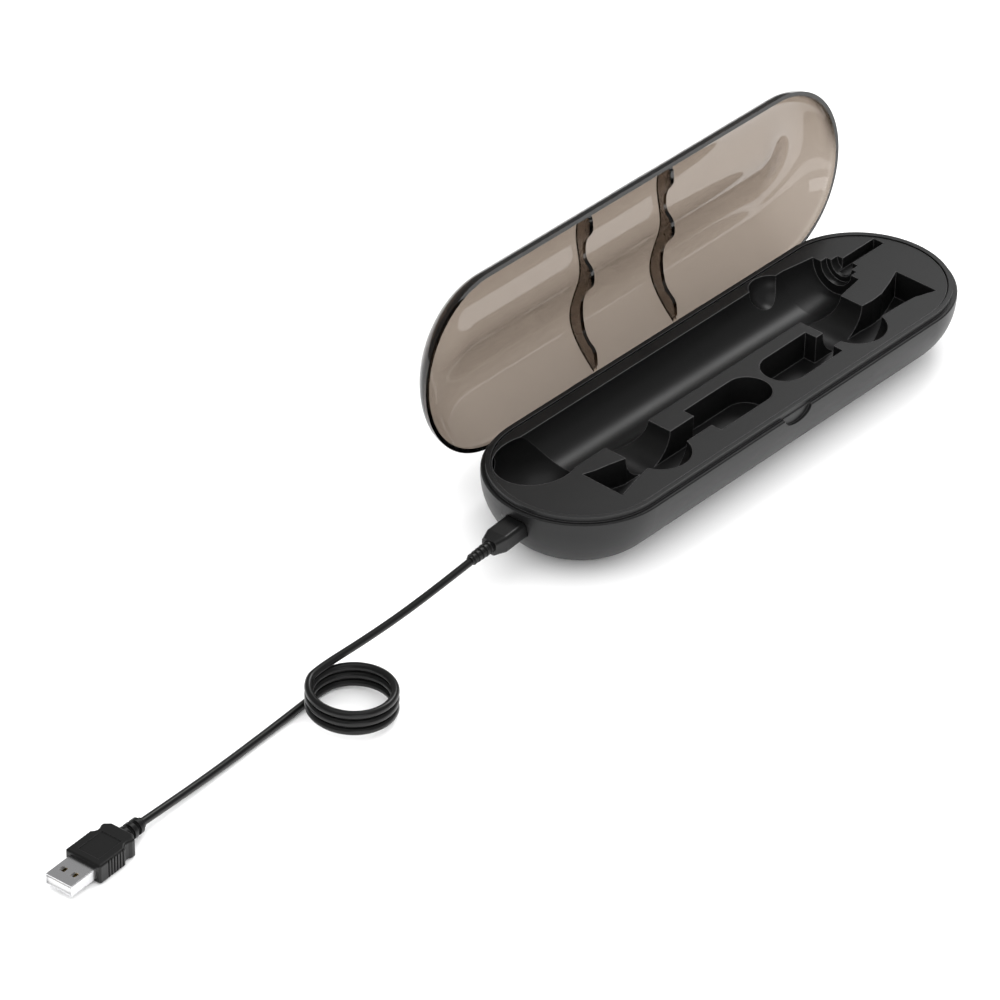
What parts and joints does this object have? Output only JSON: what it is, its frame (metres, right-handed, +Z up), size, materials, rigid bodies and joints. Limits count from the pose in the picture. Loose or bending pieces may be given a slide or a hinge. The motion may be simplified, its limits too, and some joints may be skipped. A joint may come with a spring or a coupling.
{
  "type": "toothbrush travel charging case",
  "caption": "Long rounded travel case with a hinged smoky lid, moulded toothbrush tray and a coiled black charging cable plugged into one end.",
  "frame": {"origin": "middle of the case's footprint, on the surface that it stands on", "axes": "+X along the case towards the shaft slot, +Y towards the hinge, +Z up"},
  "size_m": [0.4956, 0.0963, 0.0931],
  "materials": {
    "case_black": "fine satin texture",
    "tray_black": "fine matt texture",
    "smoky_lid": "clear smoke-brown plastic, polished",
    "steel_pin": "drawn wire",
    "foot_rubber": "matt",
    "screw_steel": "zinc plated",
    "board_green": "solder mask",
    "chip_black": "moulded package",
    "core_grey": "sintered ferrite",
    "copper_winding": "enamelled wire",
    "socket_steel": "tinned",
    "tongue_black": "moulded",
    "plug_steel": "nickel plated",
    "plug_black": "soft satin",
    "cord_black": "smooth satin sheath",
    "tongue_white": "moulded",
    "contact_gold": "gold plated"
  },
  "bodies": {
    "case": {"lower_shell": "case_black", "tray": "tray_black", "hinge_pins": "steel_pin", "rubber_feet": "foot_rubber", "tray_screws": "screw_steel", "circuit_board": "board_green", "board_parts": "chip_black", "board_screws": "screw_steel", "coil_core": "core_grey", "charge_coil": "copper_winding", "socket_board": "board_green", "socket_shell": "socket_steel", "socket_tongue": "tongue_black"},
    "lid": {"lid": "smoky_lid"},
    "cable": {"micro_plug_shell": "plug_steel", "micro_plug_grip": "plug_black", "micro_plug_boot": "plug_black", "cord_near": "cord_black", "cord_coil": "cord_black", "cord_far": "cord_black", "usb_plug_boot": "plug_black", "usb_plug_grip": "plug_black", "usb_plug_shell": "plug_steel", "usb_plug_tongue": "tongue_white", "usb_plug_contacts": "contact_gold"}
  },
  "joints": [
    {"name": "lid_hinge", "type": "hinge", "parent": "case", "child": "lid", "pos_m": [0, 0.0352, 0.0211], "axis": [1, 0, 0], "range_deg": [0, 94.5]},
    {"name": "cable_plug", "type": "slide", "parent": "case", "child": "cable", "axis": [-0.9976, -0.0698, 0], "range_m": [0, 0.02]}
  ]
}
